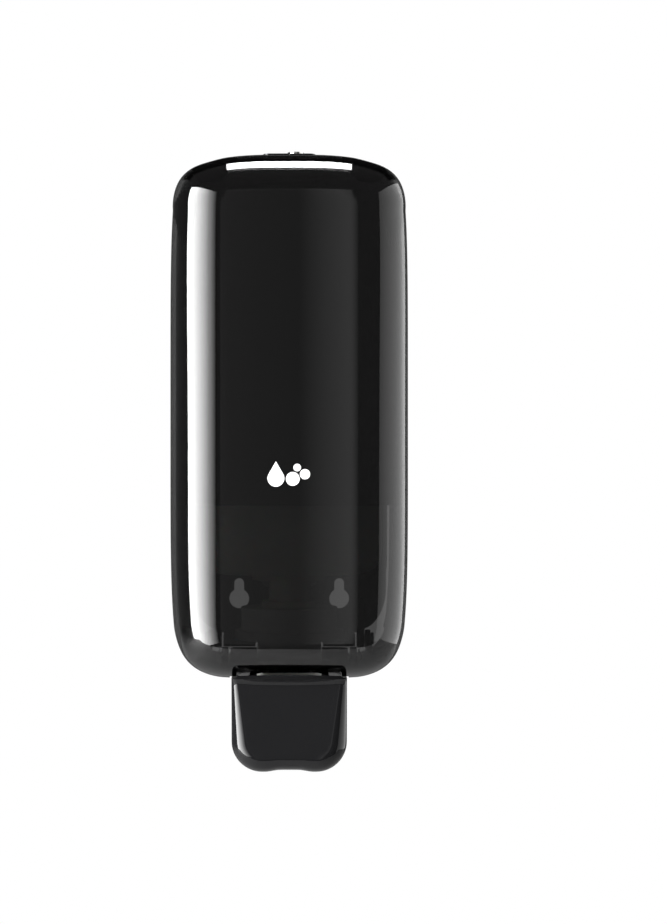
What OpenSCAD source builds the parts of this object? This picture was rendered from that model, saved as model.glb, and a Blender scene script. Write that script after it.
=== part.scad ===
// Wall mounted foam soap dispenser: a hinged case with a push bar, over a hanging refill with a foam pump.
// +X is to the right, the front faces -Y, the wall is the plane Y = 0, and +Z is up.
// The origin is on the wall, at the middle of the four keyholes.

/* [Case] */
// Height from the foot of the push bar to the top of the lock barrel
overall_h = 286; // [270:1:320]
// Width across the widest part of the cover
overall_w = 113; // [108:1:140]
// Depth from the wall to the front of the badge
overall_d = 105; // [103:1:130]
// Height of the top of the lock barrel above the origin
top_above_origin = 137; // [132:1:145]
// Height of the cover alone
cover_h = 242.8; // [230:0.1:275]
// Radius of the cover's corners, seen from the front
corner_r = 26; // [20:1:32]
// Radius of the rounded edge between the sides and the front
edge_r = 24; // [16:1:25]
// Wall of the cover
cover_wall = 2.5; // [1.5:0.1:3.5]
// Wall of the opaque liner inside the cover
liner_wall = 1.2; // [0.8:0.1:2]
// How far the sides curve in at the top and at the foot
side_bow = 1.2; // [0:0.1:3]
// How far the top edge falls towards its corners
top_arch = 3.6; // [0:0.1:5]
// How much narrower each side of the cover is at the front than at the wall
draft = 1.5; // [0:0.1:2]
// How far the front face falls back towards its sides
front_crown = 2.5; // [0:0.1:4]
// How far the front face leans back at the top
top_lean = 4; // [0:0.1:5]
// Height of the lower edge of the liner above the origin
liner_foot_z = -25; // [-60:1:0]
// Thickness of the badge
badge_t = 0.4; // [0.2:0.1:1]
// Width of the badge
badge_w = 22; // [12:1:40]
// Height of the badge above the origin
badge_z = -13; // [-20:1:60]

/* [Back plate] */
// Thickness of the back plate
plate_t = 3; // [2:0.1:4]
// Height of the rim that stiffens the back plate
rim_h = 6; // [3:0.5:9]
// Horizontal distance between the keyholes
key_dx = 50.4; // [40:0.1:60]
// Vertical distance between the keyholes
key_dz = 152.4; // [140:0.1:160]
// Radius of a keyhole's screw head entry
key_r = 5; // [4:0.05:6]
// Width of a keyhole's slot
key_slot_w = 5; // [4:0.1:6]
// Height of the end of the slot's arc centre above the entry's centre
key_rise = 7.8; // [7:0.1:10]

/* [Hinge] */
// Distance of the hinge axis from the wall
hinge_y = 16; // [14:0.5:18]
// Height of the hinge axis above the foot of the cover
hinge_above_foot = 11.6; // [10.6:0.1:13]
// Radius of the hinge pins
pin_r = 2.5; // [2:0.1:3]
// Radius of the round bosses that carry the pins
hinge_boss_r = 5; // [4:0.1:6]
// Distance of the hinge lugs from the middle
lug_x = 34; // [28:0.5:35]

/* [Push bar] */
// Width of the push bar
bar_w = 52.8; // [48:0.1:54]
// Radius of the push bar's lower corners
bar_corner_r = 14; // [8:0.5:18]
// Wall of the push bar
bar_wall = 2.2; // [1.6:0.1:3]
// Depth of the hollow that the hand presses into
bar_dish = 3.5; // [0:0.1:5]
// How far the push bar's top stands above the cover's foot
bar_rise = 1.6; // [0.5:0.1:2]
// Distance of the push bar's axle from the wall
axle_y = 80; // [78:0.5:82]
// Height of the push bar's axle above the foot of the cover
axle_above_foot = 9.6; // [8.6:0.1:10]
// Radius of the axle
axle_r = 2; // [1.5:0.1:2.5]
// Height of the arch cut in the cover's front over the push bar
arch_h = 5.8; // [4:0.1:7]

/* [Refill] */
// Distance of the pump's axis from the wall
pump_y = 51.5; // [51:0.5:56]
// Radius of the refill bottle
bottle_r = 45; // [35:0.5:46]
// Gap between the top of the bottle's body and the top of the cover
bottle_headroom = 31.2; // [29:0.1:60]
// Height of the underside of the bottle's body above the foot of the cover
bottle_above_foot = 47.6; // [46:0.1:49]
// Wall of the bottle
bottle_wall = 1; // [0.6:0.1:2]
// Radius of the bottle's neck
neck_r = 9.75; // [9:0.05:11]
// Radius of the screw collar
collar_r = 22.9; // [20:0.1:23]
// Radius of the collar's flange, which hangs in the bracket
flange_r = 26; // [24:0.1:27]
// Radius of the bore that the air piston slides in
air_bore_r = 15.45; // [14:0.05:16]
// Radius of the bore that the liquid piston slides in
liquid_bore_r = 5; // [4:0.1:5.2]
// Radius of the flange that the yoke lifts
lift_flange_r = 21.35; // [18:0.05:23]
// Height of the nozzle under its flange
nozzle_h = 18; // [12:0.5:20]
// Wire diameter of the pump spring
wire_d = 1; // [0.6:0.1:1.2]

/* [Lock] */
// Sideways place of the lock barrel
lock_x = 3; // [0:0.5:3]
// Distance of the lock barrel from the wall
lock_y = 74; // [60:0.5:75]
// Radius of the lock barrel
barrel_r = 3.75; // [3:0.05:4.5]
// How far the barrel stands above the cover
barrel_proud = 1.8; // [1:0.1:2.5]
// Width of the lock insert
insert_w = 24; // [18:0.5:26]
// Depth of the lock insert
insert_d = 18; // [16:0.5:22]
// Reach of the lock cam from the barrel's axis
cam_reach = 15; // [12:0.5:16]

/* [Clearances] */
// Radial clearance of turning pins and sliding seals
run_gap = 0.05; // [0.03:0.01:0.08]
// Gap between fixed pieces that fit together
fit_gap = 0.1; // [0.05:0.01:0.3]
// Gap between pieces that move past each other
free_gap = 0.5; // [0.3:0.05:1]

/* [Hidden] */
$fn = 96;

half_w = overall_w / 2;
cover_top = top_above_origin - barrel_proud;
cover_foot = cover_top - cover_h;
bar_foot = top_above_origin - overall_h;
mid_z = (cover_top + cover_foot) / 2;
half_h = cover_h / 2;
front_d = overall_d - badge_t;         // distance of the cover's front from the wall
rear_gap = 1;                          // gap between the cover's rear edge and the wall
deep_z = -40;                          // height at which the front face is deepest
n_arc = 8;                             // facets of a corner
n_edge = 8;                            // facets of the rounded edge
n_side = 14;                           // facets along a side
n_top = 8;                             // facets along the top or the foot
n_front = 3;                           // rings across the front face
liner_skin = cover_wall + fit_gap;     // depth of the liner's outer face under the cover's
inner_skin = liner_skin + liner_wall;  // depth of the liner's inner face

hinge_z = cover_foot + hinge_above_foot;
lug_t = 4;
ear_t = 3;
ear_x = lug_x + lug_t + free_gap;
hinge_tilt = 6;                        // the lug's arm rises by this much on its way to the plate

axle_z = cover_foot + axle_above_foot;
axle_boss_r = 4.8;
bush_wall = 1.2;                       // wall of the bushes between the axle and the yoke
bar_top = cover_foot + bar_rise;
bar_setback = 8.6;                     // the bar's front lies this far behind the cover's
bar_front_d = front_d - bar_setback;
dish_r = 110;                          // radius of the dish in the bar's front
bar_side_r = 7;                        // radius of the bar's upright edges
yoke_face_y = 87.3;                    // distance of the yoke's front face from the wall
yoke_t = 3;
yoke_in = 15;                          // the yoke's arms lie between these distances
yoke_out = 18.5;                       // from the middle
screw_x = 11;                          // the two screws between the yoke and the bar
screw_z = bar_top - 12;
opening_w = bar_w + 2.2;               // width of the opening in the cover's foot
bracket_in = opening_w / 2 + 0.7;       // distance of the axle's brackets from the middle
bracket_w = 3;
bracket_foot = cover_foot + cover_wall + 0.6;  // underside of the axle's brackets
bush_out = bracket_in - 2.2;            // distance of the bushes' flanges from the middle
opening_back = 24;                     // the opening runs between these distances
opening_front = 95;                    // from the wall
heel_h = 16;                           // height of the cut behind the hinge axis

bottle_z = cover_foot + bottle_above_foot;
bottle_h = cover_top - bottle_headroom - bottle_z;
collar_top = bottle_z - 16.5;
collar_h = 11;
collar_foot = collar_top - collar_h;
flange_t = 4;
flange_foot = collar_foot - flange_t;
stroke = 10.5;                         // travel of the pump's sliding half
piston_wall = 1.6;
shelf_t = 3;
shelf_foot = flange_foot - shelf_t;
lift_t = 4;
lift_top = shelf_foot - stroke - 1;
lift_foot = lift_top - lift_t;
deck_t = 3;
deck_foot = collar_top - deck_t;       // top of the air chamber
socket_foot = deck_foot - 4.5;         // underside of the neck's socket
liquid_foot = socket_foot - 2;
liquid_top = bottle_z;
seal_t = 1.3;
seal_foot = deck_foot - stroke - 0.2 - seal_t;  // the air seal stops 0.2 short of the deck
nose_r = 2.5;
nose_z = lift_foot - 0.3 - nose_r;

insert_t = 2.6;
insert_top = cover_top + 0.1;
insert_foot = insert_top - insert_t;
boss_foot = cover_top - 12.2;
cam_top = boss_foot - 2.2;
cam_t = 2.5;
catch_x = lock_x + 8;
catch_w = 8;
catch_top = cam_top + 0.7;
catch_arm_z = bottle_z + bottle_h + 6;

// ---- plain helpers ----

// Extrudes an outline drawn in X and Z forwards, from one distance off the wall to another
module forward(from, to) {
    translate([0, -from, 0]) rotate([90, 0, 0]) linear_extrude(to - from) children();
}

// Extrudes an outline drawn in Y and Z to the right
module across(from, to) {
    translate([from, 0, 0]) rotate([90, 0, 90]) linear_extrude(to - from) children();
}

// A rectangle with round corners, given by its two opposite corners
module round_box(low, high, r) {
    translate([low[0] + r, low[1]]) square([high[0] - low[0] - 2 * r, high[1] - low[1]]);
    translate([low[0], low[1] + r]) square([high[0] - low[0], high[1] - low[1] - 2 * r]);
    for (x = [low[0] + r, high[0] - r], z = [low[1] + r, high[1] - r])
        translate([x, z]) circle(r);
}

// Both of a pair, mirrored left and right
module pair() {
    children();
    mirror([1, 0, 0]) children();
}

// A rod along X
module rod(from, to, r) {
    translate([from, 0, 0]) rotate([0, 90, 0]) cylinder(r = r, h = to - from);
}

// Places children on the pump's vertical axis
module on_pump() {
    translate([0, -pump_y, 0]) children();
}

// A ring about Z between two radii and two heights
module ring(r_in, r_out, low, high) {
    rotate_extrude() translate([r_in, low]) square([r_out - r_in, high - low]);
}

// ---- the cover's rounded skin ----

// Bends a point of the plain outline: the sides bow in and the top falls at its corners
function bow(p) = let (t = (p[1] - mid_z) / half_h)
    [p[0] * (1 - side_bow / half_w * t * t),
     p[1] - (t > 0 ? top_arch * pow(p[0] / half_w, 2) * t * t : 0)];

// One corner of the outline, inset from the outer skin; corners run from the top right, anticlockwise
function corner(k, inset) = let (
    r = max(corner_r - inset, 1),
    sx = [1, -1, -1, 1][k],
    sz = [1, 1, -1, -1][k],
    cx = sx * (half_w - inset - r),
    cz = (sz > 0 ? cover_top : cover_foot) - sz * (inset + r))
    [for (i = [0:n_arc]) let (a = 90 * (k + i / n_arc)) [cx + r * cos(a), cz + r * sin(a)]];

// Points between two others
function between(p, q, n) = [for (i = [1:n - 1]) p + (q - p) * i / n];

// The whole outline at an inset
function outline(inset) = [for (k = [0:3])
    let (c = corner(k, inset), d = corner((k + 1) % 4, inset))
    each concat(c, between(c[n_arc], d[0], k % 2 == 0 ? n_top : n_side))];

// How far the front face lies behind its foremost point
function fall(p) = front_crown * pow(p[0] / half_w, 2)
    + top_lean * pow(max(p[1] - deep_z, 0) / (cover_top - deep_z), 2);

// One ring of a skin: swing 0 is on the side walls and 1 on the front face
function skin_ring(inset, depth, swing) =
    let (narrow = 1 - draft / half_w * min(depth / (front_d - edge_r), 1))
    [for (q = outline(inset)) let (p = bow(q)) [p[0] * narrow, -(depth - fall(q) * swing), p[1]]];

// All the rings of a skin that lies a given depth under the outer one
function skin(under) = let (r = edge_r - under, flat = front_d - edge_r)
    concat(
        [skin_ring(under, rear_gap, 0)],
        [for (i = [0:n_edge]) let (a = 90 * i / n_edge)
            skin_ring(under + r * (1 - cos(a)), flat + r * sin(a), sin(a))],
        [for (i = [1:n_front])
            skin_ring(edge_r + (half_w - 1.5 - edge_r) * i / n_front, front_d - under, 1)]);

// The points down the middle of the front face that its innermost ring closes on
function spine(r) = [for (i = [0:n_side])
    let (m = len(r), p = r[2 * n_arc + n_top + i], q = r[(m - i) % m]) (p + q) / 2];

// A closed shell between two skins, open at the wall
module double_skin(outside, inside) {
    rings = concat(skin(outside), skin(inside));
    m = len(rings[0]);
    n = len(rings) / 2;
    turn = 2 * n_arc + n_top;          // point j and point turn - j mirror each other
    function at(k, j) = k * m + (j + m) % m;
    function facet(a, b, c, out) = out ? [a, b, c] : [a, c, b];
    function skin_faces(first, out) = [for (k = [0:n - 2], j = [0:m - 1])
        let (a = at(first + k, j), b = at(first + k, j + 1),
             c = at(first + k + 1, j + 1), d = at(first + k + 1, j))
        each [facet(a, b, c, out), facet(a, c, d, out)]];
    function cap_faces(k, mid, out) = concat(
        [for (j = [0:turn - 1]) facet(at(k, j), at(k, j + 1), mid, out)],
        [for (j = [turn + n_side:m - n_side - 1]) facet(at(k, j), at(k, j + 1), mid + n_side, out)],
        [for (i = [0:n_side - 1]) each [
            facet(at(k, turn + i), at(k, turn + i + 1), mid + i + 1, out),
            facet(at(k, turn + i), mid + i + 1, mid + i, out),
            facet(at(k, -i - 1), at(k, -i), mid + i, out),
            facet(at(k, -i - 1), mid + i, mid + i + 1, out)]]);
    rim = [for (j = [0:m - 1])
        let (a = at(0, j), b = at(0, j + 1), c = at(n, j + 1), d = at(n, j))
        each [[a, c, b], [a, d, c]]];
    polyhedron(
        points = concat([for (r = rings) each r], spine(rings[n - 1]), spine(rings[2 * n - 1])),
        faces = concat(skin_faces(0, true), cap_faces(n - 1, 2 * n * m, true),
            skin_faces(n, false), cap_faces(2 * n - 1, 2 * n * m + n_side + 1, false), rim));
}

// The opening in the foot of the cover, with the arch over the push bar
module foot_opening() {
    half = opening_w / 2;
    r = (half * half + arch_h * arch_h) / (2 * arch_h);
    intersection() {
        forward(opening_back, overall_d + 1)
            translate([0, cover_foot + arch_h - r]) circle(r, $fn = 360);
        translate([-half, -overall_d - 1, cover_foot - 2 * arch_h])
            cube([opening_w, overall_d, 4 * arch_h]);
    }
    translate([-half, -opening_front, cover_foot - 1])
        cube([opening_w, opening_front - opening_back, cover_wall + 2.5]);
}

// The room behind the hinge axis that the cover's heel needs when it swings
module heel_room() {
    translate([-half_w, -hinge_y, cover_foot - 1]) cube([overall_w, hinge_y + 1, heel_h + 1]);
}

// The cut for the lock insert in the top of the cover
module insert_cut() {
    translate([0, 0, boss_foot])
        linear_extrude(30)
            round_box([-insert_w / 2 - fit_gap, -lock_y - insert_d / 2 - fit_gap],
                [insert_w / 2 + fit_gap, -lock_y + insert_d / 2 + fit_gap], 3);
}

// ---- on the wall ----

module keyhole() {
    circle(key_r);
    translate([-key_slot_w / 2, 0]) square([key_slot_w, key_rise]);
    translate([0, key_rise]) circle(key_slot_w / 2);
}

plate_rise = 13.6;                     // the back plate's foot stands this far above the cover's
rim_foot_rise = 47;                    // and the foot of its rim this far
fin_x = 36;                            // distance of the bottle's guide fins from the middle
fin_h = 11;

plate_gap = cover_wall + side_bow + 1 + draft * (plate_t + rim_h) / front_d;  // to the cover's sides
plate_top = cover_top - plate_gap - 0.7;
rim_w = 2;

module plate_outline(inset) {
    half = half_w - plate_gap - inset;
    round_box([-half, cover_foot + plate_rise + inset], [half, plate_top - inset],
        corner_r - 4 - inset);
}

module back_plate() color([0.2, 0.2, 0.21]) {
    difference() {
        union() {
            forward(0, plate_t) plate_outline(0);
            forward(plate_t, plate_t + rim_h) difference() {
                plate_outline(0);
                plate_outline(rim_w);
                translate([-half_w, cover_foot]) square([overall_w, rim_foot_rise]);
            }
        }
        for (x = [-1, 1], z = [-1, 1])
            forward(-1, plate_t + 1) translate([x * key_dx / 2, z * key_dz / 2]) keyhole();
    }
    // fins that guide the bottle
    pair() forward(plate_t, plate_t + fin_h)
        translate([fin_x, bottle_z + 20]) square([2, bottle_h - 29]);
    // lugs for the hinge pins
    pair() across(lug_x, lug_x + lug_t) translate([-hinge_y, hinge_z]) difference() {
        union() {
            circle(hinge_boss_r);
            polygon([[-3, 4], [0, -hinge_boss_r], [hinge_y - plate_t, hinge_tilt],
                [hinge_y - plate_t, 20]]);
        }
        circle(pin_r);
    }
}

module hinge_pins() color("silver")
    pair() translate([0, -hinge_y, hinge_z]) {
        rod(lug_x, ear_x + ear_t + free_gap, pin_r);
        rod(ear_x + ear_t + free_gap, ear_x + ear_t + free_gap + 1.5, pin_r + 1);
    }

// A cross-headed screw that stands on Y = 0, with its shank towards the wall
module screw(length) {
    rotate([90, 0, 0]) difference() {
        union() {
            cylinder(r = head_r, h = head_h);
            translate([0, 0, -length]) cylinder(r = shank_r, h = length);
        }
        for (a = [0, 90]) rotate(a) translate([-head_r * 0.6, -0.5, head_h - 0.9])
            cube([head_r * 1.2, 1, 2]);
    }
}

head_r = 2.8;                          // the small screws: radius and height of the head,
head_h = 1.8;
shank_r = 1.55;                        // radius of the shank and of its hole
hole_r = 1.6;

bracket_screw_x = 11;
bracket_screw_z = [shelf_foot + 12.5, shelf_foot + 27.5];
web_t = 2.5;
shelf_half = 31;
shelf_d = 66;

module pump_bracket() color([0.16, 0.16, 0.17]) {
    slot_r = air_bore_r + 0.55;
    difference() {
        union() {
            // web screwed to the plate
            forward(plate_t, plate_t + web_t)
                round_box([-17, shelf_foot], [17, bottle_z + 2], 2);
            // shelf with side rails
            translate([0, 0, shelf_foot]) linear_extrude(shelf_t)
                translate([-shelf_half, -shelf_d]) square([2 * shelf_half, shelf_d - plate_t]);
            pair() translate([0, 0, shelf_foot + shelf_t]) linear_extrude(3)
                translate([shelf_half - 3, -shelf_d]) square([3, 40]);
            // gussets
            pair() across(14.5, 17)
                polygon([[-plate_t, shelf_foot + shelf_t], [-22, shelf_foot + shelf_t], [-plate_t, -64]]);
        }
        // the slot that the refill's tube slides into
        on_pump() translate([0, 0, shelf_foot - 1]) linear_extrude(shelf_t + 2) {
            circle(slot_r);
            translate([-slot_r, -30]) square([2 * slot_r, 30]);
        }
        for (x = [-1, 1], z = bracket_screw_z)
            forward(0, plate_t + web_t + 1) translate([x * bracket_screw_x, z]) circle(hole_r);
    }
}

module bracket_screws() color("silver")
    for (x = [-1, 1], z = bracket_screw_z)
        translate([x * bracket_screw_x, -plate_t - web_t, z]) screw(web_t);

catch_foot_t = 3;
catch_plate_top = plate_top - rim_w - 0.2;   // the catch stands just under the plate's rim
catch_screw_z = [catch_plate_top - 10.2, catch_plate_top - 3.2];

module lock_catch() color("silver") {
    difference() {
        forward(plate_t, plate_t + catch_foot_t)
            round_box([catch_x - 5, catch_arm_z - 4], [catch_x + catch_w + 5, catch_plate_top], 2);
        for (z = catch_screw_z)
            forward(0, plate_t + catch_foot_t + 1) translate([catch_x + catch_w / 2, z]) circle(hole_r);
    }
    // arm over the bottle, and the lip that the cam hooks behind
    across(catch_x, catch_x + catch_w) polygon([
        [-plate_t, catch_arm_z], [-lock_y - 6.3, catch_arm_z], [-lock_y - 6.3, catch_top],
        [-lock_y - 3.6, catch_top], [-lock_y - 3.6, catch_arm_z + 3],
        [-plate_t - catch_foot_t - 6, catch_arm_z + 3],
        [-plate_t - catch_foot_t, catch_arm_z + 4.5], [-plate_t, catch_arm_z + 4.5]]);
}

module catch_screws() color("silver")
    for (z = catch_screw_z)
        translate([catch_x + catch_w / 2, -plate_t - catch_foot_t, z]) screw(catch_foot_t);

// ---- refill ----

module bottle_profile(inset) {
    r = bottle_r - inset;
    low = bottle_z + inset;
    high = bottle_z + bottle_h - inset;
    foot_r = 10 - inset;
    head_r = 12 - inset;
    translate([0, low]) square([r - foot_r, high - low]);
    translate([0, low + foot_r]) square([r, high - low - foot_r - head_r]);
    translate([0, high - head_r - 1]) square([r - head_r, head_r + 1]);
    translate([r - foot_r, low + foot_r]) circle(foot_r);
    translate([r - head_r, high - head_r]) circle(head_r);
}

module refill_bottle() color([0.93, 0.9, 0.82])
    on_pump() rotate_extrude() difference() {
        union() {
            bottle_profile(0);
            translate([0, bottle_z - 3.5]) square([17.75, 4.5]);
            translate([0, socket_foot + 1.1]) square([neck_r, bottle_z - socket_foot]);
            translate([0, collar_top]) square([12.9, 3]);
        }
        bottle_profile(bottle_wall);
        translate([0, socket_foot]) square([neck_r - 1.5, bottle_z - socket_foot + 2]);
    }

module bottle_label() color([0.85, 0.87, 0.9])
    difference() {
        on_pump() ring(bottle_r + 0.02, bottle_r + 0.22, bottle_z + 34, bottle_z + bottle_h - 30);
        translate([-bottle_r - 1, -pump_y + 6, bottle_z]) cube([2 * bottle_r + 2, bottle_r, bottle_h]);
    }

module neck_gasket() color([0.25, 0.25, 0.25])
    on_pump() ring(neck_r - 1.5, neck_r, socket_foot, socket_foot + 1.1);

module pump_body() color([0.95, 0.95, 0.93])
    on_pump() rotate_extrude() difference() {
        union() {
            translate([0, collar_foot]) square([collar_r, collar_h]);
            translate([0, flange_foot]) square([flange_r, flange_t]);
            translate([0, liquid_foot]) square([liquid_bore_r + 1.5, liquid_top - liquid_foot]);
        }
        // air chamber, around the neck's socket
        translate([0, flange_foot - 1]) square([air_bore_r, liquid_foot - flange_foot + 1]);
        translate([neck_r + 2.25, liquid_foot - 1])
            square([air_bore_r - neck_r - 2.25, deck_foot - liquid_foot + 1]);
        // socket for the neck
        translate([liquid_bore_r + 1.5, socket_foot])
            square([neck_r + fit_gap - liquid_bore_r - 1.5, 20]);
        // bore of the liquid piston, and the inlet above it
        translate([0, liquid_foot - 1]) square([liquid_bore_r, liquid_top - liquid_foot - 1]);
        translate([0, liquid_top - 3]) square([2, 4]);
    }

module inlet_ball() color("silver")
    on_pump() translate([0, 0, liquid_top - 5.5]) sphere(2.6);

module ball_cage() color([0.9, 0.9, 0.88])
    on_pump() ring(1.6, liquid_bore_r, liquid_top - 9.4, liquid_top - 8.4);

// ---- sliding half of the pump ----

module air_piston() color([0.95, 0.95, 0.93])
    on_pump() rotate_extrude() difference() {
        union() {
            translate([0, lift_top - 1]) square([air_bore_r - 0.25, seal_foot - lift_top + 1]);
            translate([0, lift_foot]) square([lift_flange_r, lift_t]);
            translate([0, lift_foot - 2.5]) square([11, 3]);
        }
        translate([0, lift_top + 3.5]) square([air_bore_r - piston_wall, 30]);
        translate([0, lift_top + 1]) square([3.2, 4]);
        translate([0, lift_foot - 3]) square([8.5, lift_top + 1 - lift_foot + 3]);
    }

module air_seal() color([0.3, 0.3, 0.32])
    on_pump() ring(air_bore_r - piston_wall, air_bore_r - run_gap, seal_foot, seal_foot + seal_t);

module piston_stem() color([0.9, 0.9, 0.88])
    on_pump() ring(1.8, 3.2, lift_top + 1, liquid_foot + 3.5);

module liquid_seal() color([0.3, 0.3, 0.32])
    on_pump() ring(3.2, liquid_bore_r - run_gap, liquid_foot + 1, liquid_foot + 3.5);

module foam_screens() color("silver")
    on_pump() for (z = [lift_top + 0.6, lift_top - 4.4])
        translate([0, 0, z]) cylinder(r = 8.5, h = 0.4);

module screen_spacer() color([0.9, 0.9, 0.88])
    on_pump() ring(6.8, 8.5, lift_top - 4, lift_top + 0.6);

module foam_nozzle() color([0.95, 0.95, 0.93])
    on_pump() rotate_extrude() polygon([
        [11, lift_foot], [12.3, lift_foot], [12.3, lift_foot - 4], [6.2, lift_foot - nozzle_h + 1],
        [5.4, lift_foot - nozzle_h], [3.5, lift_foot - nozzle_h], [3.5, lift_foot - nozzle_h + 7],
        [8, lift_foot - 5], [8, lift_foot - 2.5], [11, lift_foot - 2.5]]);

// A coil of round wire, swept by formula
module coil(r, wire, low, high, turns) {
    sides = 8;
    per_turn = 16;
    steps = round(turns * per_turn);
    rise = high - low - wire;
    function place(i) = let (a = 360 * i / per_turn)
        [r * cos(a), r * sin(a), low + wire / 2 + rise * i / steps];
    function hoop(i) = let (a = 360 * i / per_turn, c = place(i))
        [for (j = [0:sides - 1]) let (b = 360 * j / sides)
            c + wire / 2 * [cos(b) * cos(a), cos(b) * sin(a), sin(b)]];
    polyhedron(
        points = [for (i = [0:steps]) each hoop(i)],
        faces = concat(
            [[for (j = [0:sides - 1]) j]],
            [[for (j = [sides - 1:-1:0]) steps * sides + j]],
            [for (i = [0:steps - 1], j = [0:sides - 1])
                let (a = i * sides + j, b = i * sides + (j + 1) % sides, c = b + sides, d = a + sides)
                each [[a, c, b], [a, d, c]]]));
}

module pump_spring() color("silver")
    on_pump() coil(8, wire_d, lift_top + 3.6, liquid_foot - 0.1, 4.5);

// ---- cover ----

module cover_shell() color([0.1, 0.1, 0.11])
    difference() {
        double_skin(0, cover_wall);
        foot_opening();
        heel_room();
        insert_cut();
    }

module cover_liner() color([0.03, 0.03, 0.035])
    difference() {
        double_skin(liner_skin, inner_skin);
        translate([-half_w, -overall_d, cover_foot - 1])
            cube([overall_w, overall_d, liner_foot_z - cover_foot + 1]);
        translate([-half_w, -14, cover_foot]) cube([overall_w, 14, cover_h]);
        insert_cut();
    }

module hinge_ears() color([0.12, 0.12, 0.13])
    pair() across(ear_x, ear_x + ear_t) translate([-hinge_y, hinge_z]) difference() {
        union() {
            circle(hinge_boss_r);
            polygon([[0, hinge_boss_r], [-26, -3], [-26, -4.6], [-1, -4.8]]);
        }
        circle(pin_r + run_gap);
    }

module axle_brackets() color([0.12, 0.12, 0.13])
    pair() across(bracket_in, bracket_in + bracket_w) difference() {
        union() {
            translate([-axle_y, axle_z]) circle(axle_boss_r);
            polygon([[-axle_y - 4.7, axle_z], [-axle_y - 4.7, bracket_foot + 0.7],
                [-axle_y, bracket_foot], [-axle_y + 12, bracket_foot], [-axle_y + 4.7, axle_z]]);
        }
        translate([-axle_y, axle_z]) circle(axle_r);
    }

axle_end = bracket_in + bracket_w + 2.5;

module push_bar_axle() color("silver")
    translate([0, -axle_y, axle_z]) difference() {
        rod(-axle_end, axle_end, axle_r);
        pair() translate([axle_end - 1.7, 0, 0]) difference() {
            rod(0, 0.7, axle_r + 1);
            rod(-0.1, 0.8, axle_r - 0.5);
        }
    }

module axle_clips() color([0.35, 0.35, 0.36])
    translate([0, -axle_y, axle_z]) pair() translate([axle_end - 1.65, 0, 0]) difference() {
        rod(0, 0.6, axle_r + 2);
        rod(-0.1, 0.7, axle_r - 0.45);
        translate([-0.1, -0.9, 0]) cube([0.8, 1.8, axle_r + 3]);
    }

// A drop with three bubbles beside it
module badge_outline() {
    u = badge_w / 22;
    scale(u) {
        translate([-6, -1.6]) circle(3.8);
        translate([-6, -1.6]) polygon([[-3.29, 1.9], [0, 7.6], [3.29, 1.9]]);
        translate([1.6, -1.9]) circle(3.1);
        translate([7.1, 0.2]) circle(2.3);
        translate([3.6, 3.2]) circle(1.7);
    }
}

module badge() color("white")
    forward(front_d + 0.02, overall_d) translate([0, badge_z]) badge_outline();

module lock_insert() color([0.08, 0.08, 0.09])
    difference() {
        union() {
            translate([0, 0, insert_foot]) linear_extrude(insert_t)
                round_box([-insert_w / 2, -lock_y - insert_d / 2],
                    [insert_w / 2, -lock_y + insert_d / 2], 2.9);
            translate([lock_x, -lock_y, boss_foot])
                cylinder(r = barrel_r + 3, h = insert_foot - boss_foot + 1);
        }
        translate([lock_x, -lock_y, boss_foot - 1]) cylinder(r = barrel_r + run_gap, h = 30);
    }

module lock_barrel() color("silver")
    translate([lock_x, -lock_y, 0]) difference() {
        union() {
            translate([0, 0, cam_top]) cylinder(r = barrel_r, h = top_above_origin - cam_top);
            translate([0, 0, cam_top]) cylinder(r = barrel_r + 1.6, h = boss_foot - 0.3 - cam_top);
        }
        translate([-0.6, -2.6, top_above_origin - 1.6]) cube([1.2, 5.2, 2]);
        translate([0, 0, cam_top - 1]) cylinder(r = 1.5, h = 8);
    }

module lock_cam() color([0.7, 0.7, 0.72])
    translate([lock_x, -lock_y, cam_top - cam_t]) linear_extrude(cam_t) difference() {
        union() {
            circle(barrel_r + 1.6);
            translate([-3, 0]) square([6, cam_reach - 3]);
            translate([0, cam_reach - 3]) circle(3);
        }
        circle(1.5);
    }

module cam_screw() color("silver")
    translate([lock_x, -lock_y, cam_top - cam_t - 1.6]) difference() {
        union() {
            cylinder(r = 3.2, h = 1.6);
            cylinder(r = 1.5, h = 1.6 + cam_t + 6);
        }
        translate([-0.5, -2.2, -1]) cube([1, 4.4, 1.9]);
    }

// ---- push bar ----

// The bar's side view: a straight front that leans back to its foot
module bar_side(inset) {
    d = bar_front_d;
    polygon([[-d + inset, bar_top - 4 - inset * 0.4], [-d + 4 + inset * 0.4, bar_top - inset],
        [-70 - inset, bar_top - inset], [-76 - inset, bar_foot - 1], [-d + 4 + inset, bar_foot - 1]]);
}

module bar_solid(inset) {
    half = bar_w / 2 - inset;
    intersection() {
        across(-half, half) bar_side(inset);
        forward(50, overall_d) difference() {
            round_box([-half, bar_foot + inset], [half, bar_top + 30], bar_corner_r - inset);
        }
        translate([0, 0, bar_foot - 1]) linear_extrude(80)
            round_box([-half, -bar_front_d + inset], [half, -20], bar_side_r - inset);
    }
}

module push_bar_shell() color([0.06, 0.06, 0.065]) {
    difference() {
        bar_solid(0);
        difference() {
            bar_solid(bar_wall);
            // the dish bulges into the hollow, so the wall keeps its thickness
            translate([0, -bar_front_d - dish_r + bar_dish, bar_foot - 20])
                cylinder(r = dish_r + bar_wall, h = 80, $fn = 180);
        }
        // open towards the wall and at the foot
        translate([-bar_w / 2 + bar_wall, -88, bar_foot - 1]) cube([bar_w - 2 * bar_wall, 40, 60]);
        translate([0, -bar_front_d - dish_r + bar_dish, bar_foot - 20])
            cylinder(r = dish_r, h = 80, $fn = 180);
    }
    // bosses for the yoke's screws
    pair() forward(yoke_face_y + fit_gap, bar_front_d - bar_dish - 0.4)
        translate([screw_x, screw_z]) difference() {
            circle(3);
            circle(hole_r);
        }
}

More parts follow.
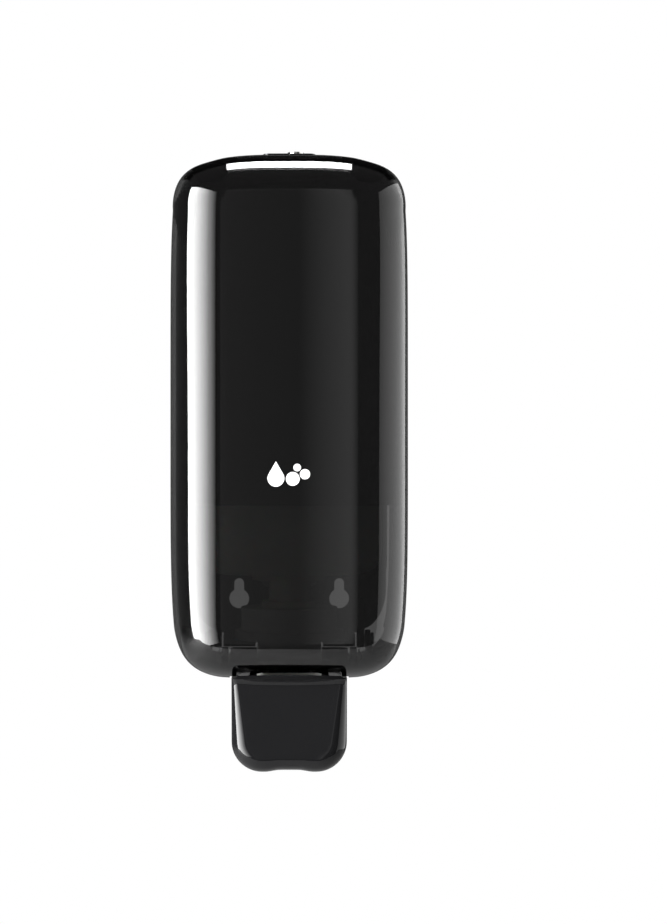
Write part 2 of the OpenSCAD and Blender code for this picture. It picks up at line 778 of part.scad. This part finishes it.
module push_yoke() color([0.75, 0.75, 0.73]) {
    difference() {
        union() {
            pair() across(yoke_in, yoke_out) translate([-axle_y, axle_z]) {
                circle(axle_boss_r);
                polygon([[-yoke_face_y + axle_y, 0], [axle_boss_r, 0], [6, nose_z - axle_z + nose_r],
                    [axle_y - pump_y, nose_z - axle_z + nose_r],
                    [axle_y - pump_y, nose_z - axle_z - nose_r],
                    [2, nose_z - axle_z - 6], [-yoke_face_y + axle_y, nose_z - axle_z - 10]]);
                translate([axle_y - pump_y, nose_z - axle_z]) circle(nose_r);
            }
            pair() translate([0, -axle_y, axle_z]) rod(yoke_in, bush_out, axle_boss_r);
            forward(yoke_face_y - yoke_t, yoke_face_y)
                translate([-yoke_out, nose_z - 10]) square([2 * yoke_out, bar_top - 5 - nose_z + 10]);
        }
        translate([0, -axle_y, axle_z]) rod(-30, 30, axle_r + bush_wall);
        pair() forward(yoke_face_y - yoke_t - 1, yoke_face_y + 1)
            translate([screw_x, screw_z]) circle(hole_r);
    }
}

module yoke_screws() color("silver")
    pair() translate([screw_x, -yoke_face_y + yoke_t, screw_z]) mirror([0, 1, 0]) screw(yoke_t + 3.2);

module axle_bushes() color([0.85, 0.85, 0.82])
    translate([0, -axle_y, axle_z]) pair() difference() {
        union() {
            rod(yoke_in + 1, bush_out, axle_r + bush_wall);
            rod(bush_out, bush_out + 1, axle_r + 2.5);
        }
        rod(yoke_in, bush_out + 2, axle_r + run_gap);
    }

back_plate();
hinge_pins();
pump_bracket();
bracket_screws();
lock_catch();
catch_screws();
refill_bottle();
bottle_label();
neck_gasket();
pump_body();
inlet_ball();
ball_cage();
air_piston();
air_seal();
piston_stem();
liquid_seal();
foam_screens();
screen_spacer();
foam_nozzle();
pump_spring();
cover_shell();
cover_liner();
hinge_ears();
axle_brackets();
push_bar_axle();
axle_clips();
badge();
lock_insert();
push_bar_shell();
push_yoke();
yoke_screws();
axle_bushes();
lock_barrel();
lock_cam();
cam_screw();
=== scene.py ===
"""Wall mounted foam soap dispenser in a plain studio: smoked glossy case, push bar, lock and hanging refill."""

import math

import bmesh
import bpy
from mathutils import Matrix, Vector


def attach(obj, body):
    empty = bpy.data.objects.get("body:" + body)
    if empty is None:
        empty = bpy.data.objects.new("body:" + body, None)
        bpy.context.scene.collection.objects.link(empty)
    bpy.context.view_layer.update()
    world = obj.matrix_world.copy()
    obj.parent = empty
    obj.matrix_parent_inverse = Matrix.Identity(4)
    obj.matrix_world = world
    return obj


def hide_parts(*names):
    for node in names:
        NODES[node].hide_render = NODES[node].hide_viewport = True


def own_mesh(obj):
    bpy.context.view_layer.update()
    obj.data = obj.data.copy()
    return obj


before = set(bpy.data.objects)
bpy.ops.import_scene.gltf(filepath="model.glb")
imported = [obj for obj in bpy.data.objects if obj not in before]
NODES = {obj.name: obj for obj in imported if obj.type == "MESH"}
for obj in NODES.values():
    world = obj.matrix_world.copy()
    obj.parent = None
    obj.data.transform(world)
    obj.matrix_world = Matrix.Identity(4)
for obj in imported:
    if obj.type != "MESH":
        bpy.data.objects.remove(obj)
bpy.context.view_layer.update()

MM = 0.001

# ---- sizes, in millimetres; the case follows the CAD part ----
HALF_W = 55.0           # half width of the case at its front; it widens towards the wall
SPREAD = 1.5
COVER_TOP, COVER_FOOT = 134.95, -107.6
FRONT = 104.6
REAR_GAP = 1.0
CORNER_R, EDGE_R = 26.0, 24.0
COVER_WALL = 2.5
FRONT_CROWN, TOP_LEAN = 2.5, 4.0
DEEP_Z = -40.0
LINER_SKIN, LINER_WALL, LINER_FOOT = 2.6, 1.2, -27.0
LABEL_FOOT, LABEL_TOP = -26.0, 74.0
FOAM = [(18, 12, 8.5), (11, 9, 5), (25, 8, 4.5)]
MID_Z = (COVER_TOP + COVER_FOOT) / 2
HALF_H = (COVER_TOP - COVER_FOOT) / 2


# ---- studio ----

def linear(code):
    """The linear colour of a hex code"""
    parts = [int(code[i:i + 2], 16) / 255 for i in (1, 3, 5)]
    return [c / 12.92 if c <= 0.04045 else ((c + 0.055) / 1.055) ** 2.4 for c in parts] + [1.0]


def node(tree, kind, sets=None, into=None):
    """Adds a node; sets are its own settings, and into gives its sockets a value or another node's output"""
    made = tree.nodes.new("ShaderNode" + kind)
    for key, value in (sets or {}).items():
        setattr(made, key, value)
    for key, value in (into or {}).items():
        if isinstance(value, bpy.types.NodeSocket):
            tree.links.new(value, made.inputs[key])
        else:
            made.inputs[key].default_value = value
    return made


def ramp(tree, value, stops):
    """A colour ramp over value, through (place, grey or hex code) stops"""
    made = node(tree, "ValToRGB", into={0: value})
    bar = made.color_ramp
    while len(bar.elements) < len(stops):
        bar.elements.new(0.5)
    for element, (place, colour) in zip(bar.elements, stops):
        element.position = place
        element.color = linear(colour) if isinstance(colour, str) else (colour, colour, colour, 1)
    return made.outputs[0]


def camera():
    """A long lens level with the middle of the case, which stands left of the picture's middle"""
    data = bpy.data.cameras.new("camera")
    data.sensor_fit, data.sensor_width = "HORIZONTAL", 36.0
    data.lens = 101.5
    data.shift_x = 0.0664
    data.clip_start, data.clip_end = 0.02, 50
    made = bpy.data.objects.new("camera", data)
    made.location = (0, -0.952, -0.0073)
    made.rotation_euler = (math.pi / 2, 0, 0)
    bpy.context.scene.collection.objects.link(made)
    bpy.context.scene.camera = made


def card(name, centre, facing, size, light, stops=None):
    """A softbox: a flat glowing card facing a point, brightest where its stops say, from its left to its right"""
    bpy.ops.object.select_all(action="DESELECT")
    bpy.ops.mesh.primitive_plane_add(size=1)
    made = bpy.context.active_object
    made.name = name
    made.scale = (size[0], size[1], 1)
    made.location = centre
    made.rotation_euler = (Vector(facing) - Vector(centre)).to_track_quat("Z", "Y").to_euler()
    made.visible_camera = False
    mat = bpy.data.materials.new(name + "_glow")
    mat.use_nodes = True
    tree = mat.node_tree
    tree.nodes.clear()
    glow = node(tree, "Emission", into={"Strength": light})
    if stops:
        place = node(tree, "SeparateXYZ", into={0: node(tree, "TexCoord").outputs["Generated"]})
        tree.links.new(ramp(tree, place.outputs[0], stops), glow.inputs["Color"])
    out = node(tree, "OutputMaterial")
    tree.links.new(glow.outputs[0], out.inputs[0])
    made.data.materials.append(mat)
    return made


def studio():
    """White behind, a large softbox on the left, a narrow one overhead and a bright wall at the right rear"""
    scene = bpy.context.scene
    scene.view_settings.view_transform = "Standard"
    world = bpy.data.worlds.new("studio")
    world.use_nodes = True
    scene.world = world
    tree = world.node_tree
    tree.nodes.clear()
    rays = node(tree, "LightPath")
    seen = node(tree, "Math", {"operation": "MAXIMUM"},
                {0: rays.outputs["Is Camera Ray"], 1: rays.outputs["Is Transmission Ray"]})
    dim = node(tree, "Background", into={"Color": (1, 1, 1, 1), "Strength": 0.12})
    white = node(tree, "Background", into={"Color": (1, 1, 1, 1), "Strength": 1.0})
    both = node(tree, "MixShader", into={0: seen.outputs[0], 1: dim.outputs[0], 2: white.outputs[0]})
    out = node(tree, "OutputWorld")
    tree.links.new(both.outputs[0], out.inputs[0])
    # the left softbox is brightest at its rear end, so the highlight has a hard outer edge and a soft inner one
    card("softbox_left", (-0.738, -0.712, 0.03), (0, -0.06, 0.03), (1.14, 1.62), 24.0,
         [(0.0, 0.0), (0.25, 0.17), (0.5, 0.48), (0.75, 0.8), (1.0, 1.0)])
    card("softbox_top", (0, -0.008, 0.98), (0, -0.02, 0.0), (0.34, 0.34), 24.0)
    # the dark ceiling behind it keeps the top of the case black
    card("ceiling_dark", (0, 0.85, 0.98), (0, 0.80, 0.0), (2.0, 1.4), 0.015)
    card("wall_right", (0.99, -0.02, 0.05), (0, -0.06, 0.05), (1.6, 1.4), 3.6,
         [(0.0, 0.75), (0.45, 0.5), (1.0, 0.2)])
    # a faint tall light in front gives the face its lighter column right of the middle
    card("front_soft", (0, -1.95, 0.05), (0, -0.06, 0.05), (0.74, 2.8), 0.64,
         [(0.0, 0.3), (0.09, 0.78), (0.16, 1.0), (0.30, 0.7), (0.44, 0.34), (0.7, 0.38), (1.0, 0.48)])
    bpy.ops.object.select_all(action="DESELECT")
    bpy.ops.mesh.primitive_plane_add(size=1, location=(0, 0.15, -0.5))
    floor = bpy.context.active_object
    floor.name = "floor"
    floor.scale = (5, 1.3, 1)
    mat = bpy.data.materials.new("floor_paper")
    mat.use_nodes = True
    shader = mat.node_tree.nodes["Principled BSDF"]
    shader.inputs["Base Color"].default_value = (0.34, 0.34, 0.34, 1)
    shader.inputs["Roughness"].default_value = 0.8
    floor.data.materials.append(mat)


# ---- modelling helpers ----

def begin(name, add, **how):
    """Adds a primitive with its object at the origin, and opens it for editing"""
    bpy.ops.object.select_all(action="DESELECT")
    add(**how)
    made = bpy.context.active_object
    made.name = made.data.name = name
    bpy.ops.object.mode_set(mode="EDIT")
    bpy.ops.mesh.select_all(action="SELECT")
    return made


def pick(made, kind, test):
    """Selects the vertices, edges or faces all of whose vertices pass the test"""
    bpy.ops.mesh.select_mode(type=kind)
    bpy.ops.mesh.select_all(action="DESELECT")
    mesh = bmesh.from_edit_mesh(made.data)
    for part in {"VERT": mesh.verts, "EDGE": mesh.edges, "FACE": mesh.faces}[kind]:
        points = [part.co] if kind == "VERT" else [v.co for v in part.verts]
        if all(test(p / MM) for p in points):
            part.select_set(True)
    bmesh.update_edit_mesh(made.data)


def drag(made, rule):
    """Moves every vertex to where the rule puts it, in millimetres"""
    mesh = bmesh.from_edit_mesh(made.data)
    for vert in mesh.verts:
        vert.co = Vector(rule(vert.co / MM)) * MM
    bmesh.update_edit_mesh(made.data)


def slices(places, axis):
    """Cuts the whole mesh across an axis at each place"""
    normal = [0, 0, 0]
    normal[axis] = 1
    for place in places:
        point = [0, 0, 0]
        point[axis] = place * MM
        bpy.ops.mesh.select_all(action="SELECT")
        bpy.ops.mesh.bisect(plane_co=point, plane_no=normal)


def box(low, high):
    """In edit mode, makes the unit cube into a box between two corners"""
    size = [(b - a) * MM for a, b in zip(low, high)]
    bpy.ops.transform.resize(value=size)
    bpy.ops.transform.translate(value=[(a + b) / 2 * MM for a, b in zip(low, high)])


def close(made):
    """Leaves edit mode with the normals outward"""
    bpy.ops.mesh.select_all(action="SELECT")
    bpy.ops.mesh.normals_make_consistent(inside=False)
    bpy.ops.object.mode_set(mode="OBJECT")
    return made


def apply(made, kind, **sets):
    """Adds a modifier and applies it"""
    bpy.ops.object.select_all(action="DESELECT")
    made.select_set(True)
    bpy.context.view_layer.objects.active = made
    modifier = made.modifiers.new(kind.lower(), kind)
    for key, value in sets.items():
        setattr(modifier, key, value)
    bpy.ops.object.modifier_apply(modifier=modifier.name)
    return made


def cut(made, cutter):
    """Cuts a piece with another, which is used up"""
    apply(made, "BOOLEAN", operation="DIFFERENCE", solver="EXACT", object=cutter)
    bpy.data.objects.remove(cutter)
    return made


def smooth(made, degrees=32):
    """Smooth shading, but for edges sharper than the angle"""
    bpy.ops.object.select_all(action="DESELECT")
    made.select_set(True)
    bpy.context.view_layer.objects.active = made
    bpy.ops.object.shade_smooth_by_angle(angle=math.radians(degrees))
    return made


def steps(low, high, count):
    """Evenly spaced places from low to high"""
    return [low + (high - low) * i / count for i in range(count + 1)]


def slab(name, points, axis, low, high):
    """A flat outline, drawn across the other two axes in their order, stretched along an axis"""
    made = begin(name, bpy.ops.mesh.primitive_circle_add, vertices=len(points), fill_type="NGON")
    mesh = bmesh.from_edit_mesh(made.data)
    mesh.verts.ensure_lookup_table()
    others = [k for k in range(3) if k != axis]
    for vert, point in zip(mesh.verts, points):
        place = [0, 0, 0]
        place[others[0]], place[others[1]], place[axis] = point[0], point[1], low
        vert.co = Vector(place) * MM
    bmesh.update_edit_mesh(made.data)
    way = [0, 0, 0]
    way[axis] = (high - low) * MM
    bpy.ops.mesh.select_all(action="SELECT")
    bpy.ops.mesh.extrude_region_move(TRANSFORM_OT_translate={"value": way})
    return close(made)


def finish_piece(made, body, mat, stands_for=()):
    """Gives a piece its material and its body, and says which CAD nodes it stands for"""
    made.data.materials.clear()
    made.data.materials.append(mat)
    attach(made, body)
    if stands_for:
        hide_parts(*stands_for)
    return made


# ---- case ----

def corner_reach(a, top):
    """Distance of the outline from a corner's centre, at an angle up from the side: a soft, uneven corner"""
    if top:
        return 24.92 - 0.18 * a + 0.64 * math.sin(2 * a) + 0.74 * math.sin(4 * a) - 0.36 * math.sin(6 * a)
    return 24.52 + 0.53 * a + 0.26 * math.sin(2 * a) - 0.24 * math.sin(4 * a) - 0.23 * math.sin(6 * a)


def swell(p, under):
    """The cover's soft shape: gently slanting sides and top, soft corners, a crowned front that leans back"""
    top = p.z > MID_Z
    middle_x, middle_z = HALF_W - CORNER_R, HALF_H - CORNER_R
    x, z = abs(p.x), abs(p.z - MID_Z)
    u, v = x - middle_x, z - middle_z
    if u > 0 and v > 0:
        reach = corner_reach(math.atan2(v, u), top) / CORNER_R
        x, z = middle_x + u * reach, middle_z + v * reach
    elif u > 0:
        x = middle_x + u * (1 - (1 - corner_reach(0, top) / CORNER_R) * (z / middle_z) ** 5.5)
    elif v > 0:
        z = middle_z + v * (1 - (1 - corner_reach(math.pi / 2, top) / CORNER_R) * (x / middle_x) ** 3.3)
    flat, r = FRONT - EDGE_R, EDGE_R - under
    swing = min(max((-p.y - flat) / r, 0), 1)
    height = MID_Z + (z if top else -z)
    fall = (FRONT_CROWN * (x / HALF_W) ** 2
            + TOP_LEAN * (max(height - DEEP_Z, 0) / (COVER_TOP - DEEP_Z)) ** 2)
    x *= 1 + SPREAD / HALF_W * (1 - min(-p.y / flat, 1))
    return (x if p.x > 0 else -x, p.y + fall * swing, height)


def case_skin(name, under, wall):
    """A rounded box, open at the wall: a cube with bevelled corners and front rim, then softly swelled"""
    made = begin(name, bpy.ops.mesh.primitive_cube_add, size=1)
    left, right = -HALF_W + under, HALF_W - under
    box((left, -FRONT + under, COVER_FOOT + under), (right, -REAR_GAP, COVER_TOP - under))
    pick(made, "FACE", lambda p: p.y > -REAR_GAP - 0.01)
    bpy.ops.mesh.delete(type="ONLY_FACE")
    bpy.ops.mesh.select_mode(type="EDGE")
    bpy.ops.mesh.select_all(action="DESELECT")
    mesh = bmesh.from_edit_mesh(made.data)
    for edge in mesh.edges:
        a, b = (v.co for v in edge.verts)
        edge.select_set(abs(a.y - b.y) > 10 * MM)
    bmesh.update_edit_mesh(made.data)
    bpy.ops.mesh.bevel(offset=(CORNER_R - under) * MM, segments=20, affect="EDGES", clamp_overlap=False)
    pick(made, "EDGE", lambda p: p.y < -FRONT + under + 0.01)
    bpy.ops.mesh.bevel(offset=(EDGE_R - under) * MM, segments=20, affect="EDGES", clamp_overlap=False)
    slices(steps(-32, 32, 16), 0)
    slices(steps(COVER_FOOT + EDGE_R + 1, COVER_TOP - EDGE_R - 1, 38), 2)
    drag(made, lambda p: swell(p, under))
    close(made)
    apply(made, "SOLIDIFY", thickness=wall * MM, offset=-1, use_even_offset=True)
    return made


def s_curve(t):
    t = min(max(t, 0), 1)
    return t * t * (3 - 2 * t)


def foot_cutter():
    """The opening in the case's foot: straight at its sides, with an S-curved rise over the push bar"""
    half, low, high = 27.6, 1.9, 4.1
    points = [(-half, COVER_FOOT - 4)]
    for x in steps(-half, half, 92):
        rise = s_curve((21 - abs(x)) / 9)
        points.append((x, COVER_FOOT + low + (high - low) * rise))
    points.append((half, COVER_FOOT - 4))
    return slab("foot_cutter", points, 1, -FRONT - 3, -24)


def cover():
    made = case_skin("smoked_cover", 0, COVER_WALL)
    cut(made, foot_cutter())
    # behind the face the foot is open, so the bar's top has room to swing
    room = [(-27.6, COVER_FOOT - 4), (27.6, COVER_FOOT - 4), (27.6, COVER_FOOT + 4), (-27.6, COVER_FOOT + 4)]
    cut(made, slab("bar_room", room, 1, -85, -24))
    heel = slab("heel_cutter", [(-16, COVER_FOOT - 1), (1, COVER_FOOT - 1), (1, -90.6), (-16, -90.6)],
                0, -HALF_W - 1, HALF_W + 1)
    cut(made, heel)
    cut(made, round_slab("insert_cutter", (-12.1, -83.1), (12.1, -64.9), 3, 2, 120, 140))
    smooth(made)
    return made


def round_outline(low, high, r, n=6):
    """A rectangle with round corners"""
    points = []
    for k, (x, y) in enumerate([(high[0] - r, high[1] - r), (low[0] + r, high[1] - r),
                                (low[0] + r, low[1] + r), (high[0] - r, low[1] + r)]):
        for i in range(n + 1):
            a = math.pi / 2 * (k + i / n)
            points.append((x + r * math.cos(a), y + r * math.sin(a)))
    return points


def round_slab(name, low, high, r, axis, start, end):
    return slab(name, round_outline(low, high, r), axis, start, end)


def liner():
    made = case_skin("case_liner", LINER_SKIN, LINER_WALL)
    low = slab("liner_foot_cutter", [(-FRONT, COVER_FOOT - 1), (1, COVER_FOOT - 1), (1, LINER_FOOT), (-FRONT, LINER_FOOT)],
               0, -HALF_W - 1, HALF_W + 1)
    cut(made, low)
    rear = slab("liner_rear_cutter", [(-14, LINER_FOOT - 2), (1, LINER_FOOT - 2), (1, COVER_TOP), (-14, COVER_TOP)],
                0, -HALF_W - 1, HALF_W + 1)
    cut(made, rear)
    cut(made, round_slab("insert_cutter", (-12.1, -83.1), (12.1, -64.9), 3, 2, 120, 140))
    smooth(made)
    return made


# ---- push bar ----

BAR_HALF = 26.4
BAR_TOP, BAR_FOOT = -106.0, -149.0
BAR_FRONT, BAR_REAR = 96.0, 72.0
BAR_LEAN = 3.5          # how far the foot of the bar stands in front of its top
BAR_CORNER_R = 14.0
BAR_EDGE_R = 8.4
BAR_WALL = 2.2
COVE_H, COVE_D = 3.8, 3.0


def bar_shape(p):
    """The bar's hand face: it leans out to its foot, its side roundings widen downwards, a cove runs under its top"""
    x, y, z = p
    down = min(max((BAR_TOP - z) / (BAR_TOP - BAR_FOOT - BAR_EDGE_R), 0), 1)
    round_r = 2.6 + 5.8 * down ** 0.8
    flat_x, flat_y = BAR_HALF - BAR_EDGE_R, BAR_FRONT - BAR_EDGE_R
    side = 1 if x >= 0 else -1
    if abs(x) > flat_x:
        x = side * (BAR_HALF - round_r * (1 - (abs(x) - flat_x) / BAR_EDGE_R))
    else:
        x = x * (BAR_HALF - round_r) / flat_x
    swing = min(max((-y - flat_y) / BAR_EDGE_R, 0), 1)
    if swing > 0:
        depth = round_r + (BAR_EDGE_R - round_r) * down ** 6
        y = -(BAR_FRONT - depth * (1 - swing))
    across = 1 - (x / BAR_HALF) ** 2
    lift = min(max((z - BAR_TOP + COVE_H) / COVE_H, 0), 1)
    y += swing * (0.6 * across * math.sin(math.pi * down) - COVE_D * lift ** 2 * (0.5 + 0.5 * across))
    y -= BAR_LEAN * down * min((-p.y - BAR_REAR) / (flat_y - BAR_REAR), 1)
    if z < BAR_FOOT + BAR_EDGE_R:
        z += 0.9 * (1 - s_curve((abs(x) - 4) / 7)) * (BAR_FOOT + BAR_EDGE_R - z) / BAR_EDGE_R
    return x, y, z


def push_bar():
    made = begin("push_bar_skin", bpy.ops.mesh.primitive_cube_add, size=1)
    box((-BAR_HALF, -BAR_FRONT, BAR_FOOT), (BAR_HALF, -BAR_REAR, BAR_TOP))
    pick(made, "FACE", lambda p: p.y > -BAR_REAR - 0.01)
    bpy.ops.mesh.delete(type="ONLY_FACE")
    pick(made, "FACE", lambda p: p.z > BAR_TOP - 0.01)
    bpy.ops.mesh.delete(type="ONLY_FACE")
    bpy.ops.mesh.select_mode(type="EDGE")
    bpy.ops.mesh.select_all(action="DESELECT")
    mesh = bmesh.from_edit_mesh(made.data)
    for edge in mesh.edges:
        a, b = (v.co for v in edge.verts)
        if abs(a.y - b.y) > 10 * MM and a.z < (BAR_FOOT + 1) * MM:
            edge.select_set(True)
    bmesh.update_edit_mesh(made.data)
    bpy.ops.mesh.bevel(offset=BAR_CORNER_R * MM, segments=16, affect="EDGES", clamp_overlap=False)
    pick(made, "EDGE", lambda p: p.y < -BAR_FRONT + 0.01)
    mesh = bmesh.from_edit_mesh(made.data)
    for edge in mesh.edges:
        if all(v.co.z > (BAR_TOP - 0.01) * MM for v in edge.verts):
            edge.select_set(False)
    bmesh.update_edit_mesh(made.data)
    bpy.ops.mesh.bevel(offset=BAR_EDGE_R * MM, segments=14, affect="EDGES", clamp_overlap=False)
    slices(steps(-BAR_HALF + BAR_EDGE_R + 0.3, BAR_HALF - BAR_EDGE_R - 0.3, 20), 0)
    slices(steps(BAR_FOOT + BAR_EDGE_R + 0.3, BAR_TOP - 5, 16), 2)
    slices(steps(BAR_TOP - 4.5, BAR_TOP - 0.4, 9), 2)
    drag(made, bar_shape)
    close(made)
    apply(made, "SOLIDIFY", thickness=BAR_WALL * MM, offset=-1, use_even_offset=True)
    smooth(made)
    return made


# ---- pump ----

PUMP_Y = -51.5
SPRING_LOW, SPRING_HIGH = -102.4, -86.1
SPRING_R, WIRE_R, SPRING_TURNS = 8.0, 0.5, 4.5


def spring():
    """The pump's return spring: a round section screwed up round the pump's axis"""
    made = begin("return_spring", bpy.ops.mesh.primitive_circle_add, vertices=12, radius=WIRE_R * MM)
    bpy.ops.transform.rotate(value=math.pi / 2, orient_axis="X", center_override=(0, 0, 0))
    bpy.ops.transform.translate(value=(SPRING_R * MM, 0, (SPRING_LOW + WIRE_R) * MM))
    bpy.ops.object.mode_set(mode="OBJECT")
    rise = (SPRING_HIGH - SPRING_LOW - 2 * WIRE_R) * MM
    apply(made, "SCREW", axis="Z", angle=2 * math.pi * SPRING_TURNS, screw_offset=rise,
          steps=round(28 * SPRING_TURNS), render_steps=round(28 * SPRING_TURNS))
    bpy.ops.object.mode_set(mode="EDIT")
    bpy.ops.mesh.select_all(action="SELECT")
    bpy.ops.transform.translate(value=(0, PUMP_Y * MM, 0))
    bpy.ops.mesh.select_all(action="DESELECT")
    bpy.ops.mesh.select_non_manifold()
    bpy.ops.mesh.edge_face_add()
    close(made)
    smooth(made, 50)
    return made


# ---- materials ----

def material(name, base, rough, **more):
    """A principled material; more holds shader sockets by name, with spaces as underscores"""
    mat = bpy.data.materials.new(name)
    mat.use_nodes = True
    shader = mat.node_tree.nodes["Principled BSDF"]
    shader.inputs["Base Color"].default_value = base if not isinstance(base, str) else linear(base)
    shader.inputs["Roughness"].default_value = rough
    for key, value in more.items():
        shader.inputs[key.replace("_", " ")].default_value = value
    return mat


def grain(mat, scale, strength, low, high, depth=0.00002):
    """Mould texture: fine noise in the surface and in how it shines, sized in millimetres"""
    tree = mat.node_tree
    shader = tree.nodes["Principled BSDF"]
    place = node(tree, "TexCoord").outputs["Object"]
    noise = node(tree, "TexNoise", into={"Vector": place, "Scale": 1000 / scale, "Detail": 2.0})
    rough = node(tree, "MapRange", into={0: noise.outputs[0], 3: low, 4: high})
    tree.links.new(rough.outputs[0], shader.inputs["Roughness"])
    bump = node(tree, "Bump", into={"Height": noise.outputs[0], "Strength": strength, "Distance": depth})
    tree.links.new(bump.outputs[0], shader.inputs["Normal"])
    return mat


def label_print():
    """Printed film: a pale field, a blue band round its foot, and a blue-grey panel with a dollop of foam"""
    mat = material("label_film_printed", "#e9edf1", 0.25, Coat_Weight=0.4, Coat_Roughness=0.1)
    tree = mat.node_tree
    place = node(tree, "SeparateXYZ", into={0: node(tree, "TexCoord").outputs["Object"]})
    across, up = place.outputs[0], place.outputs[2]
    rise = node(tree, "MapRange", into={0: up, 1: LABEL_FOOT * MM, 2: LABEL_TOP * MM}).outputs[0]
    band = ramp(tree, rise, [(0.0, "#004b7c"), (0.17, "#0077b6"), (0.175, "#e9edf1"), (1.0, "#f3f5f7")])
    right = node(tree, "Math", {"operation": "GREATER_THAN"}, {0: across, 1: 2 * MM})
    low = node(tree, "Math", {"operation": "LESS_THAN"}, {0: rise, 1: 0.62})
    high = node(tree, "Math", {"operation": "GREATER_THAN"}, {0: rise, 1: 0.175})
    both = node(tree, "Math", {"operation": "MULTIPLY"}, {0: low.outputs[0], 1: high.outputs[0]})
    panel = node(tree, "Math", {"operation": "MULTIPLY"}, {0: right.outputs[0], 1: both.outputs[0]})
    tint = ramp(tree, rise, [(0.18, "#b9c6d6"), (0.62, "#8fa1b8")])
    field = node(tree, "Mix", {"data_type": "RGBA"}, {0: panel.outputs[0], 6: band, 7: tint})
    flat = node(tree, "CombineXYZ", into={0: across, 2: up})
    # the dollop is a soft round heap with two smaller ones beside it
    colour = field.outputs[2]
    for x, z, r in FOAM:
        reach = node(tree, "VectorMath", {"operation": "DISTANCE"},
                     {0: flat.outputs[0], 1: (x * MM, 0, z * MM)}).outputs["Value"]
        heap = node(tree, "MapRange", into={0: reach, 1: (r - 0.8) * MM, 2: r * MM, 3: 1.0, 4: 0.0}).outputs[0]
        shade = ramp(tree, node(tree, "MapRange", into={0: reach, 1: 0.0, 2: r * MM}).outputs[0],
                     [(0.0, "#ffffff"), (1.0, "#d3dae2")])
        colour = node(tree, "Mix", {"data_type": "RGBA"}, {0: heap, 6: colour, 7: shade}).outputs[2]
    tree.links.new(colour, tree.nodes["Principled BSDF"].inputs["Base Color"])
    return mat


MATS = {}


def materials():
    m = MATS
    # Smoked styrene-acrylonitrile, polished: black at a glance, and a little light comes through it
    m["smoke"] = material("smoked_san_polished", (0.058, 0.058, 0.060, 1), 0.03,
                          Transmission_Weight=1.0, IOR=1.57)
    # painted shade: the smoked cover's colour is darkened towards its foot, standing in for the dark inside of the
    # case there, so no light comes through
    tree = m["smoke"].node_tree
    up = node(tree, "SeparateXYZ", into={0: node(tree, "TexCoord").outputs["Object"]}).outputs[2]
    rise = node(tree, "MapRange", into={0: up, 1: -100 * MM, 2: -96 * MM}).outputs[0]
    tree.links.new(ramp(tree, rise, [(0.0, 0.004), (1.0, 0.058)]), tree.nodes["Principled BSDF"].inputs["Base Color"])
    # Polished black ABS: the push bar
    m["gloss"] = material("black_abs_polished", (0.0055, 0.0055, 0.006, 1), 0.05, IOR=1.53,
                          Specular_IOR_Level=0.36)
    # Matte black polystyrene liner
    m["liner"] = grain(material("black_ps_matte", (0.004, 0.004, 0.004, 1), 0.6, Specular_IOR_Level=0.15),
                       0.8, 0.3, 0.55, 0.7)
    # Spark-textured black ABS
    m["abs"] = grain(material("black_abs_textured", (0.012, 0.012, 0.012, 1), 0.45), 0.5, 0.5, 0.4, 0.6)
    m["bottle"] = grain(material("milky_pe", (0.82, 0.78, 0.66, 1), 0.35, Subsurface_Weight=0.3,
                                 Subsurface_Scale=0.004), 3.0, 0.1, 0.3, 0.42)
    m["label"] = label_print()
    m["pp"] = grain(material("white_pp_satin", (0.78, 0.78, 0.75, 1), 0.4), 0.6, 0.2, 0.36, 0.46)
    # Black acetal, slippery and slightly waxy: the moulded yoke and the axle's bushes
    m["acetal"] = grain(material("black_acetal", (0.01, 0.01, 0.01, 1), 0.35), 0.6, 0.2, 0.3, 0.4)
    m["rubber"] = grain(material("seal_rubber_matte", (0.02, 0.02, 0.021, 1), 0.75), 0.4, 0.3, 0.7, 0.85)
    m["print"] = material("white_print", (0.84, 0.84, 0.84, 1), 0.45)
    m["steel"] = grain(material("steel_drawn", (0.58, 0.57, 0.55, 1), 0.3, Metallic=1.0), 0.3, 0.1, 0.25, 0.4)
    m["zinc"] = grain(material("steel_zinc_plated", (0.62, 0.64, 0.67, 1), 0.35, Metallic=1.0), 0.6, 0.1, 0.28, 0.42)
    m["chrome"] = material("brass_nickel_plated", (0.72, 0.71, 0.69, 1), 0.12, Metallic=1.0)


PAINT = {
    "abs": ["back_plate", "pump_bracket"],
    "bottle": ["refill_bottle"],
    "label": ["bottle_label"],
    "pp": ["pump_body", "ball_cage", "air_piston", "piston_stem", "screen_spacer", "foam_nozzle"],
    "acetal": ["push_yoke", "axle_bushes"],
    "rubber": ["neck_gasket", "air_seal", "liquid_seal"],
    "print": ["badge"],
    "steel": ["pump_spring", "inlet_ball", "foam_screens", "hinge_pins", "push_bar_axle", "axle_clips"],
    "zinc": ["bracket_screws", "lock_catch", "catch_screws", "yoke_screws", "lock_cam", "cam_screw"],
    "chrome": ["lock_barrel"],
    "gloss": ["lock_insert", "push_bar_shell"],
    "smoke": ["cover_shell"],
    "liner": ["cover_liner", "hinge_ears", "axle_brackets"],
}

camera()
studio()
materials()
for finish, names in PAINT.items():
    for name in names:
        NODES[name].data.materials.clear()
        NODES[name].data.materials.append(MATS[finish])
finish_piece(cover(), "cover", MATS["smoke"], ["cover_shell"])
finish_piece(liner(), "cover", MATS["liner"], ["cover_liner"])
finish_piece(push_bar(), "bar", MATS["gloss"], ["push_bar_shell"])
coil = finish_piece(spring(), "chassis", MATS["steel"], ["pump_spring"])
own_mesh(coil)
